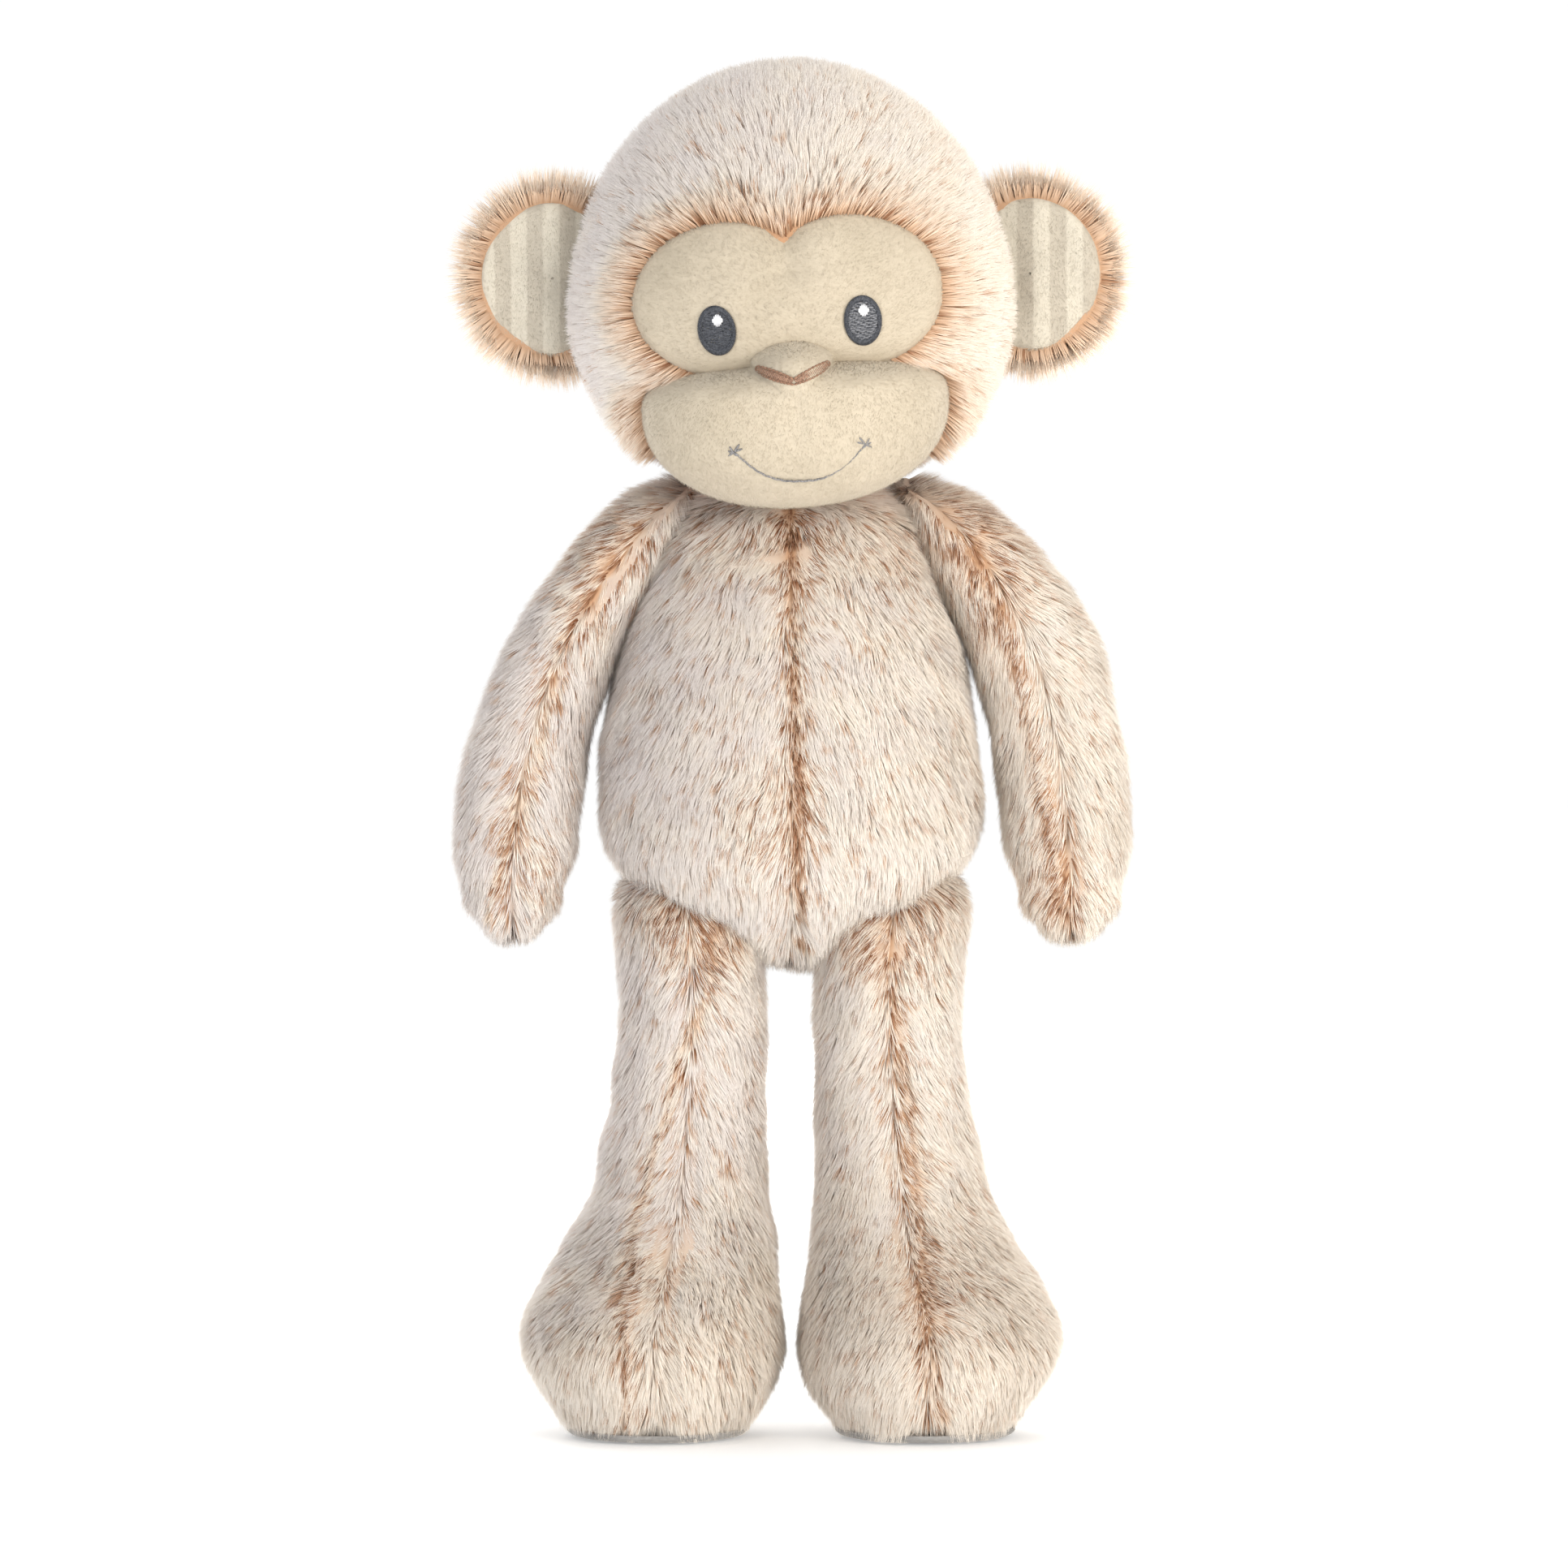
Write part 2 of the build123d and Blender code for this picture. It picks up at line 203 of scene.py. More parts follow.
def scatter(p, n, flow, density, keep, generator):
    """Random places on a grid: point, normal and nap direction."""
    a, b, c, d = p[:-1, :-1], p[1:, :-1], p[1:, 1:], p[:-1, 1:]
    area = np.linalg.norm(np.cross(c - a, d - b), axis=2) / 2
    count = generator.poisson(area * density)
    row, column = np.nonzero(count)
    times = count[row, column]
    row, column = np.repeat(row, times), np.repeat(column, times)
    s, t = generator.uniform(size=(2, len(row), 1))

    def mix(v):
        top = v[row, column] * (1 - t) + v[row, column + 1] * t
        low = v[row + 1, column] * (1 - t) + v[row + 1, column + 1] * t
        return top * (1 - s) + low * s

    place = mix(p)
    kept = keep(place)
    return place[kept], unit(mix(n))[kept], unit(mix(flow))[kept]


def locks(place, size, seed):
    """Sort tufts into locks about size across: each tuft's lock, and a random number for each lock."""
    warped = place + 0.6 * size * np.stack([waves(place, 4 * size, seed + k, 2) for k in range(3)], axis=1)
    cell = np.floor(warped / size).astype(np.int64)
    key = (cell[:, 0] * 73856093) ^ (cell[:, 1] * 19349663) ^ (cell[:, 2] * 83492791)
    _, lock = np.unique(key, return_inverse=True)
    return lock, np.random.default_rng(seed).uniform(size=lock.max() + 1)


def tufts(place, normal, nap, length, width, rise, tint, lock, pull, seed, softness=SOFTNESS):
    """Tapered, ridged tufts that lean along the nap, their tips drawn together in each lock by pull."""
    r = np.random.default_rng(seed)
    count = len(place)
    sway = r.normal(0, STRAY, (count, 1)) + WANDER * waves(place, 11, seed + 1)[:, None]
    lean = (rise * (1 + 0.25 * r.normal(size=count)))[:, None]
    tip = place + unit(nap + sway * np.cross(normal, nap) + lean * normal) * length[:, None]
    total = np.bincount(lock)
    middle = np.stack([np.bincount(lock, tip[:, k]) / total for k in range(3)], axis=1)
    tip = tip + pull * (middle[lock] - tip)
    side = unit(np.cross(normal, tip - place))
    up = unit(np.cross(tip - place, side))
    verts = np.empty((count, 4, 3))
    for k, (wide, tall) in enumerate(((0, 0.22), (-0.5, -0.1), (0.5, -0.1))):
        verts[:, k] = place - normal * 0.5 + (wide * side + tall * up) * width[:, None]
    verts[:, 3] = tip
    uv = np.empty((count, 4, 2))
    uv[:, :, 0] = np.clip(tint[:, None], 0.01, 0.99)
    uv[:, :3, 1] = ROOT_AT
    uv[:, 3, 1] = r.uniform(*TIP_AT, count)
    base = np.arange(count)[:, None] * 4
    faces = np.concatenate([base + [0, 1, 3], base + [2, 0, 3]])
    soft = np.repeat(unit(softness * normal + (1 - softness) * up + [0, 0, 0.15]), 4, axis=0)
    if softness < 0.5:  # the nap is shaded as fine ridges, so that it doesn't look like smooth plastic
        level = np.zeros_like(side)
        ridge = np.stack([level, -side, side, level], axis=1)
        soft = unit(soft.reshape(count, 4, 3) + 0.5 * ridge).reshape(-1, 3)
    return verts.reshape(-1, 3), faces, uv.reshape(-1, 2), soft


def everywhere(points):
    """A patch without a gap: tufts are kept at all of its points."""
    return np.ones(len(points), bool)


def furry(name, p, n, flow, coat, seed, keep=everywhere, length=PILE_LENGTH):
    """A panel of long pile: its skin from a grid, and the tufts on it.

    coat gives each tuft its tint, its length beside the panel's, its rise off the skin, and how often
    the locks there part.
    """
    r = np.random.default_rng(seed)
    place, normal, nap = scatter(p, n, flow, PILE_DENSITY, keep, r)
    tint, scale, rise, parting = coat(place, normal)
    size = length * scale * r.uniform(0.70, 1.15, len(place))
    width = PILE_WIDTH * r.uniform(0.7, 1.25, len(place))
    lock, chance = locks(place, CLUMP, seed + 9)
    fleck, odds = locks(place, FLECK, seed + 5)
    open_lock = (chance[lock] < parting * OPEN_LOCKS) & (odds[fleck] < 0.5)
    dark = 0.74 + 0.30 * odds[fleck] + 0.028 * np.minimum(parting, 5)
    tint = np.where(open_lock, dark, tint + 0.05 * (chance[lock] - 0.5)) + r.normal(0, 0.03, len(place))
    size = np.where(open_lock, size * FLECK_LENGTH, size)
    verts, spikes, uv, soft = tufts(place, normal, nap, size, width, rise, tint, lock, GATHER, seed)
    verts[:, 2] = np.maximum(verts[:, 2], 0.25)
    rows, columns = p.shape[:2]
    skin = p.reshape(-1, 3)
    skin_normal = n.reshape(-1, 3)
    skin_uv = np.stack([coat(skin, skin_normal)[0], np.full(len(skin), SKIN_AT)], axis=1)
    return mesh_piece(
        name, np.concatenate([skin, verts]), [grid_faces(rows, columns), spikes + len(skin)], pile,
        np.concatenate([skin_uv, uv]), np.concatenate([skin_normal, soft]),
    )


# ---------------------------------------------------------------- materials


def new_material(name, roughness, sheen=0.0, sheen_tint=(1, 1, 1)):
    """A material and the pieces that the functions below wire up: its nodes, links and shader."""
    material = bpy.data.materials.new(name)
    material.use_nodes = True
    nodes, links = material.node_tree.nodes, material.node_tree.links
    shader = nodes["Principled BSDF"]
    shader.inputs["Roughness"].default_value = roughness
    shader.inputs["Sheen Weight"].default_value = sheen
    shader.inputs["Sheen Roughness"].default_value = 0.45
    shader.inputs["Sheen Tint"].default_value = (*sheen_tint, 1)
    shader.inputs["Specular IOR Level"].default_value = 0.18
    return material, nodes, links, shader


def add_ramp(nodes, links, source, stops, smooth=False):
    """A colour ramp on a value: stops are a place and a colour."""
    ramp = nodes.new("ShaderNodeValToRGB")
    ramp.color_ramp.interpolation = "EASE" if smooth else "LINEAR"
    elements = ramp.color_ramp.elements
    while len(elements) > 1:
        elements.remove(elements[0])
    for k, (place, colour) in enumerate(stops):
        element = elements[0] if k == 0 else elements.new(place)
        element.position = place
        element.color = (*colour, 1)
    links.new(source, ramp.inputs["Fac"])
    return ramp.outputs["Color"]


def add_math(nodes, links, operation, a, b, c=None):
    """A Math node on sockets or numbers."""
    node = nodes.new("ShaderNodeMath")
    node.operation = operation
    for k, value in enumerate((a, b) if c is None else (a, b, c)):
        if isinstance(value, bpy.types.NodeSocket):
            links.new(value, node.inputs[k])
        else:
            node.inputs[k].default_value = value
    return node.outputs[0]


def add_mix(nodes, links, factor, a, b):
    """A colour between two colours, each a socket or a constant, by a factor from a socket."""
    node = nodes.new("ShaderNodeMix")
    node.data_type = "RGBA"
    for socket, value in ((node.inputs["Factor"], factor), (node.inputs[6], a), (node.inputs[7], b)):
        if isinstance(value, bpy.types.NodeSocket):
            links.new(value, socket)
        else:
            socket.default_value = (*value, 1)
    return node.outputs[2]


def add_noise(nodes, links, scale, stretch=(1, 1, 1), detail=2.0):
    """Noise in the piece's own coordinates, with scale in lumps per metre."""
    place = nodes.new("ShaderNodeTexCoord")
    mapping = nodes.new("ShaderNodeMapping")
    mapping.inputs["Scale"].default_value = stretch
    noise = nodes.new("ShaderNodeTexNoise")
    noise.inputs["Scale"].default_value = scale
    noise.inputs["Detail"].default_value = detail
    links.new(place.outputs["Object"], mapping.inputs["Vector"])
    links.new(mapping.outputs["Vector"], noise.inputs["Vector"])
    return noise.outputs["Fac"]


def add_bump(nodes, links, shader, height, strength, distance):
    """Bump on the shader from a height."""
    bump = nodes.new("ShaderNodeBump")
    bump.inputs["Strength"].default_value = strength
    bump.inputs["Distance"].default_value = distance
    links.new(height, bump.inputs["Height"])
    links.new(bump.outputs["Normal"], shader.inputs["Normal"])


# The pile's colours by tint: at its root, half way and at its tip
PALETTE = [
    (COOL, ((0.52, 0.41, 0.35), (0.78, 0.70, 0.65), (0.86, 0.81, 0.775))),
    (WARM, ((0.58, 0.45, 0.35), (0.86, 0.77, 0.66), (0.93, 0.87, 0.79))),
    (TAN, ((0.52, 0.33, 0.21), (0.82, 0.65, 0.50), (0.92, 0.83, 0.73))),
    (ORANGE, ((0.50, 0.28, 0.155), (0.84, 0.61, 0.43), (0.94, 0.85, 0.74))),
    (BROWN, ((0.18, 0.075, 0.033), (0.43, 0.21, 0.11), (0.70, 0.48, 0.33))),
    (DEEP, ((0.10, 0.038, 0.018), (0.26, 0.105, 0.05), (0.46, 0.25, 0.145))),
]


def pile_material():
    """Frosted pile: dyed at the root and pale at the tip, by tint across and distance along the tuft."""
    material, nodes, links, shader = new_material("long pile plush", 0.9, 0.2, (1, 0.95, 0.9))
    uv = nodes.new("ShaderNodeUVMap")
    uv.uv_map = UV_LAYER
    split = nodes.new("ShaderNodeSeparateXYZ")
    links.new(uv.outputs["UV"], split.inputs["Vector"])
    tint, along = split.outputs["X"], split.outputs["Y"]
    shades = []
    for place in range(3):
        stops = [(tint_place, colours[place]) for tint_place, colours in PALETTE]
        shades.append(add_ramp(nodes, links, tint, stops))
    root, middle, tip = shades
    lower = add_ramp(nodes, links, along, [(0.10, (0, 0, 0)), (0.50, (1, 1, 1))])
    upper = add_ramp(nodes, links, along, [(0.45, (0, 0, 0)), (0.88, (1, 1, 1))])
    shade = add_mix(nodes, links, upper, add_mix(nodes, links, lower, root, middle), tip)
    links.new(shade, shader.inputs["Base Color"])
    return material


def velboa_material(name, light, dark):
    """Short velvety pile: patches brushed one way or the other, and a fine nap."""
    material, nodes, links, shader = new_material(name, 0.85, 0.3, (1, 0.96, 0.9))
    patches = add_noise(nodes, links, 70.0, (1, 1, 0.7), 3.0)
    nap = add_noise(nodes, links, 1300.0, (0.5, 0.5, 1))
    broad = add_math(nodes, links, "MULTIPLY", patches, 0.65)
    mixed = add_math(nodes, links, "MULTIPLY_ADD", nap, 0.35, broad)
    colour = add_ramp(nodes, links, mixed, [(0.36, dark), (0.66, light)])
    links.new(colour, shader.inputs["Base Color"])
    add_bump(nodes, links, shader, nap, 0.15, 0.0004)
    return material


STRIPE_PITCH = 0.0078  # metres from one light stripe to the next


def stripe_material():
    """Velour with stripes about 4 mm wide, running down the ear."""
    material, nodes, links, shader = new_material("striped velour", 0.8, 0.3, (1, 0.97, 0.92))
    place = nodes.new("ShaderNodeTexCoord")
    split = nodes.new("ShaderNodeSeparateXYZ")
    links.new(place.outputs["Object"], split.inputs["Vector"])
    wobble = add_noise(nodes, links, 60.0)
    across = add_math(nodes, links, "MULTIPLY_ADD", wobble, 0.0012, split.outputs["X"])
    turns = add_math(nodes, links, "MULTIPLY", across, 2 * math.pi / STRIPE_PITCH)
    band = add_math(nodes, links, "MULTIPLY_ADD", add_math(nodes, links, "SINE", turns, 0.0), 0.5, 0.5)
    stripes = add_ramp(nodes, links, band, [(0.38, (0.63, 0.575, 0.475)), (0.62, (0.51, 0.455, 0.37))])
    nap = add_noise(nodes, links, 1400.0, (0.5, 0.5, 1))
    shade = add_ramp(nodes, links, nap, [(0.3, (0.93, 0.93, 0.93)), (0.65, (1, 1, 1))])
    mix = nodes.new("ShaderNodeMix")
    mix.data_type = "RGBA"
    mix.blend_type = "MULTIPLY"
    mix.inputs["Factor"].default_value = 1.0
    links.new(stripes, mix.inputs[6])
    links.new(shade, mix.inputs[7])
    links.new(mix.outputs[2], shader.inputs["Base Color"])
    add_bump(nodes, links, shader, nap, 0.15, 0.0004)
    return material


def thread_material(name, light, dark):
    """Embroidery thread: rayon with a soft gloss, each strand a little lighter or darker."""
    material, nodes, links, shader = new_material(name, 0.42, 0.1)
    shader.inputs["Specular IOR Level"].default_value = 0.4
    twist = add_noise(nodes, links, 2600.0)
    links.new(add_ramp(nodes, links, twist, [(0.35, dark), (0.68, light)]), shader.inputs["Base Color"])
    add_bump(nodes, links, shader, twist, 0.4, 0.0002)
    return material


pile = pile_material()
velboa = velboa_material("face velboa", (0.565, 0.49, 0.38), (0.505, 0.435, 0.33))
sole_plush = velboa_material("sole plush", (0.36, 0.345, 0.33), (0.20, 0.19, 0.18))
striped = stripe_material()
eye_thread = thread_material("eye thread", (0.075, 0.08, 0.095), (0.022, 0.024, 0.030))
# Both eyes are sewn in the same dark thread; the toy's left eye's fill is painted lighter grey, a painted
# highlight of light reflecting on its stitches.
fills = {
    "right": thread_material("dark eye thread", (0.10, 0.105, 0.12), (0.03, 0.032, 0.04)),
    "left": thread_material("eye thread with painted highlight", (0.30, 0.30, 0.32), (0.09, 0.095, 0.105)),
}
glint_thread = thread_material("glint thread", (0.92, 0.92, 0.93), (0.62, 0.62, 0.65))
nostril_edge = thread_material("nostril edge thread", (0.34, 0.185, 0.115), (0.19, 0.10, 0.058))
nostril_fill = thread_material("nostril fill thread", (0.40, 0.235, 0.155), (0.20, 0.105, 0.065))
smile_thread = thread_material("smile thread", (0.30, 0.29, 0.29), (0.13, 0.125, 0.125))


# ---------------------------------------------------------------- head


def head_half(z):
    """The head's half-width at a height."""
    high = np.clip((z - HEAD_Z) / HEAD_RISE, 0, 1)
    low = np.clip((HEAD_Z - z) / HEAD_DROP, 0, 1)
    return HEAD_W * np.sqrt(1 - high**2) * (1 - low**HEAD_TAPER) ** (1 / HEAD_TAPER)


def head_front(x, z):
    """Where the front of the head's pile lies, at a place seen from the front."""
    room = np.maximum(head_half(z) ** 2 - x**2, 60.0)
    return MID_Y - HEAD_D / HEAD_W * np.sqrt(room)


def from_face(x, z):
    """Places on the face, in the toy's frame: the face is sewn on with a small roll."""
    c, s = math.cos(FACE_ROLL), math.sin(FACE_ROLL)
    return x * c - z * s, FACE_Z + x * s + z * c


def to_face(x, z):
    c, s = math.cos(FACE_ROLL), math.sin(FACE_ROLL)
    z = z - FACE_Z
    return x * c + z * s, z * c - x * s


MASK_Z = 8.0  # the middle of the mask's outline, inside both of its lobes


def mask_radius(turn):
    """The heart's outline: the farther of two overlapping lobes in each direction."""
    c, s = np.cos(turn), np.sin(turn)
    far = np.zeros_like(turn)
    for x in (-LOBE_X, LOBE_X):
        z = LOBE_Z - MASK_Z
        a = (c / LOBE_RX) ** 2 + (s / LOBE_RZ) ** 2
        b = c * x / LOBE_RX**2 + s * z / LOBE_RZ**2
        k = (x / LOBE_RX) ** 2 + (z / LOBE_RZ) ** 2 - 1
        far = np.maximum(far, (b + np.sqrt(b * b - a * k)) / a)
    return far


def muzzle_radius(turn):
    """The muzzle's outline: flat on top with the nose bump, and round below."""
    c, s = np.cos(turn), np.sin(turn)
    up = s > 0
    power = np.where(up, 3.0, 2.15)
    tall = np.where(up, MUZZLE_UP, MUZZLE_DOWN)
    r = (np.abs(c / MUZZLE_W) ** power + np.abs(s / tall) ** power) ** (-1 / power)
    return r + np.where(up, NOSE_RISE * np.sqrt(np.clip(1 - (r * c / NOSE_W) ** 2, 0, 1)), 0)


def beyond_face(p):
    """How far points on the head's front are outside the mask and the muzzle, in millimetres."""
    x, z = to_face(p[..., 0], p[..., 2])
    gaps = []
    for middle, radius in ((MASK_Z, mask_radius), (MUZZLE_Z, muzzle_radius)):
        r = np.hypot(x, z - middle)
        gaps.append(r - radius(np.arctan2(z - middle, x)))
    return np.where(p[..., 1] < MID_Y - 5, np.minimum(*gaps), 99.0)


def head_grid(rows=84, columns=132):
    """The head's skin from the crown down to where it gathers round the neck."""
    up = np.linspace(0.02, math.pi / 2, rows // 2, endpoint=False)
    low = np.linspace(0, 1.22, rows - rows // 2)
    half = np.concatenate([HEAD_W * np.sin(up), HEAD_W * np.cos(low) ** (2 / HEAD_TAPER)])
    above, below = HEAD_RISE * np.cos(up), HEAD_DROP * np.sin(low) ** (2 / HEAD_TAPER)
    z = HEAD_Z + np.concatenate([above, -below])
    turn = np.linspace(0, 2 * math.pi, columns + 1)
    x = half[:, None] * np.sin(turn)
    y = MID_Y - half[:, None] * HEAD_D / HEAD_W * np.cos(turn)
    return np.stack([x, y, np.repeat(z[:, None], columns + 1, axis=1)], axis=2)


def head_coat(place, normal):
    """Orange roots in a ring round the face, where the pile also stands up; painted shade makes the pile
    cooler and darker on the toy's right, away from the key lamp.
    """
    gap = beyond_face(place)
    edge = np.clip(1.25 - gap / 5.2, 0, 1) * (gap < 90)
    # Painted light and shade: the tint runs from cool and darker on the toy's right, in shade, to warm and
    # lighter on its left, where the key lamp falls.
    side = np.clip(0.5 + place[:, 0] / 70, 0, 1)
    base = COOL + (WARM - COOL) * side + 0.045 * waves(place, 16, 31)
    brow = 0.08 * np.exp(-(((gap - 7) / 5) ** 2)) * (gap < 90)
    near = np.exp(-(np.maximum(gap, 0) / 5.5) ** 1.6) * (gap < 90)
    parting = 0.55 + 1.2 * near
    return base + brow + (ORANGE - base - brow) * edge, 0.92 + 0.08 * near, PILE_RISE + 1.1 * near, parting


def make_head():
    p = head_grid()
    n = grid_normals(p)
    p = p - n * SKIN_DEPTH
    face = np.array([0, MID_Y - 50, FACE_Z + 3])
    behind = np.clip((p[..., 1:2] - MID_Y + 8) / 44, 0, 1)
    flow = unit(p - face) * (1 - behind) + behind * np.array([0, 0.15, -1.0])
    flow = along_surface(flow + np.array([0, 0, -0.10]), n)
    columns = p.shape[1] - 1
    quarter = columns // 4
    front = [range(3 * quarter, columns), range(0, quarter + 1)]
    panels = {
        "head_front_fur": (("head_front_panel", "head_stuffing"), front),
        "head_back_left_fur": (("left_head_back_panel",), [range(quarter, 2 * quarter + 1)]),
        "head_back_right_fur": (("right_head_back_panel",), [range(2 * quarter, 3 * quarter + 1)]),
    }
    for k, (name, (nodes, runs)) in enumerate(panels.items()):
        pick = [c for run in runs for c in run]
        piece = furry(
            name, p[:, pick], n[:, pick], flow[:, pick], head_coat, 100 + 20 * k,
            keep=lambda q: beyond_face(q) > -0.8,
        )
        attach(piece, "head")
        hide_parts(*nodes)


# ---------------------------------------------------------------- face


def mask_front(x, z):
    """The mask's surface at a place on the face: puffed in each lobe, and pulled in at its seam."""
    r = np.hypot(x, z - MASK_Z)
    s = r / mask_radius(np.arctan2(z - MASK_Z, x))
    wx, wz = from_face(x, z)
    cleft = 1.4 * np.exp(-((x / 5) ** 2)) * np.clip((z - MASK_Z) / 9, 0, 1) ** 2
    puff = 1.8 - 2.2 * np.clip(s, 0, 1.2) ** 5 - cleft
    dents = 0.35 * waves(np.stack([x, np.zeros_like(x), z], axis=-1), 20, 5, 2)
    return head_front(wx, wz) + 2.2 - puff - dents


def muzzle_point(turn, arc):
    """A point of the muzzle: turn goes round its outline, and arc from its middle to its rim, at pi / 2."""
    radius = muzzle_radius(turn) * np.sin(arc) ** MUZZLE_BLUNT
    x, z = radius * np.cos(turn), MUZZLE_Z + radius * np.sin(turn)
    rim = MUZZLE_Y + 8.0 * np.cos(turn) ** 2
    deep = np.where(arc < math.pi / 2, MUZZLE_FRONT + 8.0 * np.cos(turn) ** 2, 13.0)
    y = rim - deep * np.cos(arc)
    nose = 4.7 * np.exp(-((x / 9.4) ** 2) - ((z + 3.8) / 6.8) ** 2)
    lip = -0.5 * np.exp(-((x / 2.4) ** 2) - ((z + 17) / 8) ** 4)
    cheeks = 1.0 * np.exp(-(((np.abs(x) - 19) / 11) ** 2) - ((z + 15) / 10) ** 2)
    front = np.clip(np.cos(arc) * 3, 0, 1)
    wx, wz = from_face(x, z)
    return np.stack([wx, MID_Y + y - (nose + lip + cheeks) * front, wz], axis=-1)


def muzzle_front(x, z):
    """The muzzle's surface at a place on the face."""
    turn = np.arctan2(z - MUZZLE_Z, x)
    arc = np.arcsin(np.clip(np.hypot(x, z - MUZZLE_Z) / muzzle_radius(turn), 0, 1) ** (1 / MUZZLE_BLUNT))
    return muzzle_point(turn, arc)[..., 1]


def on_mask(x, z):
    wx, wz = from_face(x, z)
    return np.stack([wx, mask_front(x, z), wz], axis=-1)


def on_muzzle(x, z):
    wx, wz = from_face(x, z)
    return np.stack([wx, muzzle_front(x, z), wz], axis=-1)


def napped(name, p, n, flow, material, seed, keep):
    """A short-pile patch seen from the front: its skin, and a fine nap of tufts on it."""
    r = np.random.default_rng(seed)
    place, normal, nap = scatter(p, n, flow, NAP_DENSITY, keep, r)
    size = NAP_LENGTH * r.uniform(0.7, 1.2, len(place))
    lock, _ = locks(place, NAP_CLUMP, seed)
    zero = np.zeros(len(place))
    width, rise = zero + NAP_WIDTH, zero + NAP_RISE
    verts, spikes, _, soft = tufts(
        place, normal, nap, size, width, rise, zero, lock, NAP_GATHER, seed, NAP_SOFTNESS
    )
    skin = p.reshape(-1, 3)
    points = np.concatenate([skin, verts])
    low, high = points[:, [0, 2]].min(axis=0), points[:, [0, 2]].max(axis=0)
    uv = 0.02 + 0.96 * (points[:, [0, 2]] - low) / (high - low)
    normals = np.concatenate([n.reshape(-1, 3), soft])
    return mesh_piece(name, points, [grid_faces(*p.shape[:2]), spikes + len(skin)], material, uv, normals)


def make_face():
    turn = np.linspace(0, 2 * math.pi, 145)
    s = np.linspace(0.001, 1.06, 44)[:, None]
    x, z = s * mask_radius(turn) * np.cos(turn), MASK_Z + s * mask_radius(turn) * np.sin(turn)
    p = on_mask(x, z)
    p[-3:, :, 1] += np.array([0.8, 2.2, 4.5])[:, None]
    n = grid_normals(p)
    outward = p - np.array([0, 0, FACE_Z - 25])
    flow = along_surface(outward * np.array([1, 0, 0.8]), n)
    mask = napped("face_mask_velboa", p, n, flow, velboa, 300, keep=lambda q: q[:, 2] > FACE_Z - 8)
    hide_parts("face_mask")

    turns, arcs = np.meshgrid(turn, np.linspace(0.0008, math.radians(128), 60))
    p = muzzle_point(turns, arcs)
    p = p + 0.35 * waves(p, 17, 8, 2)[..., None] * np.array([0, -1, 0])
    n = grid_normals(p)
    flow = along_surface(np.broadcast_to([0.0, 0.0, -1.0], p.shape), n)
    muzzle = napped("muzzle_velboa", p, n, flow, velboa, 310, keep=lambda q: q[:, 1] < MID_Y - 22)
    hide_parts("muzzle_panel")
    for piece in (mask, muzzle):
        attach(piece, "head")


# ---------------------------------------------------------------- embroidery


def raised(surface, lift):
    """The same surface, nearer to the viewer by lift."""
    return lambda x, z: surface(x, z) - [0, lift, 0]


def stitches(name, node, surface, strokes, radius, material):
    """Threads laid on a surface: each stroke is a short line on the face, plumpest in its middle."""
    sides, verts, quads = 6, [], []
    for stroke in strokes:
        line = np.array(stroke, float)
        t = np.linspace(0, 1, 6)
        run = np.linspace(0, 1, len(line))
        x, z = np.interp(t, run, line[:, 0]), np.interp(t, run, line[:, 1])
        swell = np.sin(np.pi * (0.12 + 0.76 * t)) ** 0.6
        centre = surface(x, z) - np.array([0, 1, 0]) * (radius * 0.55 * swell)[:, None]
        along = unit(np.gradient(centre, axis=0))
        side = unit(np.cross(along, np.array([0.0, 1.0, 0.0])))
        up = np.cross(side, along)
        start = sum(len(v) for v in verts)
        angle = 2 * math.pi * np.arange(sides) / sides
        ring = side[:, None] * np.cos(angle)[:, None] + up[:, None] * np.sin(angle)[:, None]
        verts.append((centre[:, None] + ring * (radius * swell)[:, None, None]).reshape(-1, 3))
        i = start + np.arange(5)[:, None] * sides
        j = np.arange(sides)
        k = (j + 1) % sides
        quads.append(np.stack([i + j, i + k, i + sides + k, i + sides + j], axis=2).reshape(-1, 4))
        quads.append(start + np.array([[0, 5, 4, 1], [1, 4, 3, 2]]))
        quads.append(start + 5 * sides + np.array([[0, 1, 4, 5], [1, 2, 3, 4]]))
    piece = mesh_piece(name, np.concatenate(verts), np.concatenate(quads), material)
    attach(piece, "head")
    if node:
        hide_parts(node)


def brick_rows(inside, x0, x1, z0, z1, pitch, stitch, generator):
    """Fill stitches: level rows cut into short stitches, each row shifted, clipped to an outline."""
    strokes = []
    for row, z in enumerate(np.arange(z0, z1, pitch)):
        x = x0 - stitch * ((row * 0.37) % 1)
        while x < x1:
            xs = np.linspace(x, x + stitch * generator.uniform(0.8, 1.05), 9)
            ok = inside(xs, np.full(9, z))
            if ok.sum() > 2:
                lift = generator.normal(0, 0.05)
                strokes.append([(xs[ok][0], z + lift), (xs[ok][-1], z + lift)])
            x += stitch
    return strokes


EYE_W, EYE_H, EYE_RIM = 4.5, 5.9, 0.8  # half the eye's width and height, and its satin rim's width


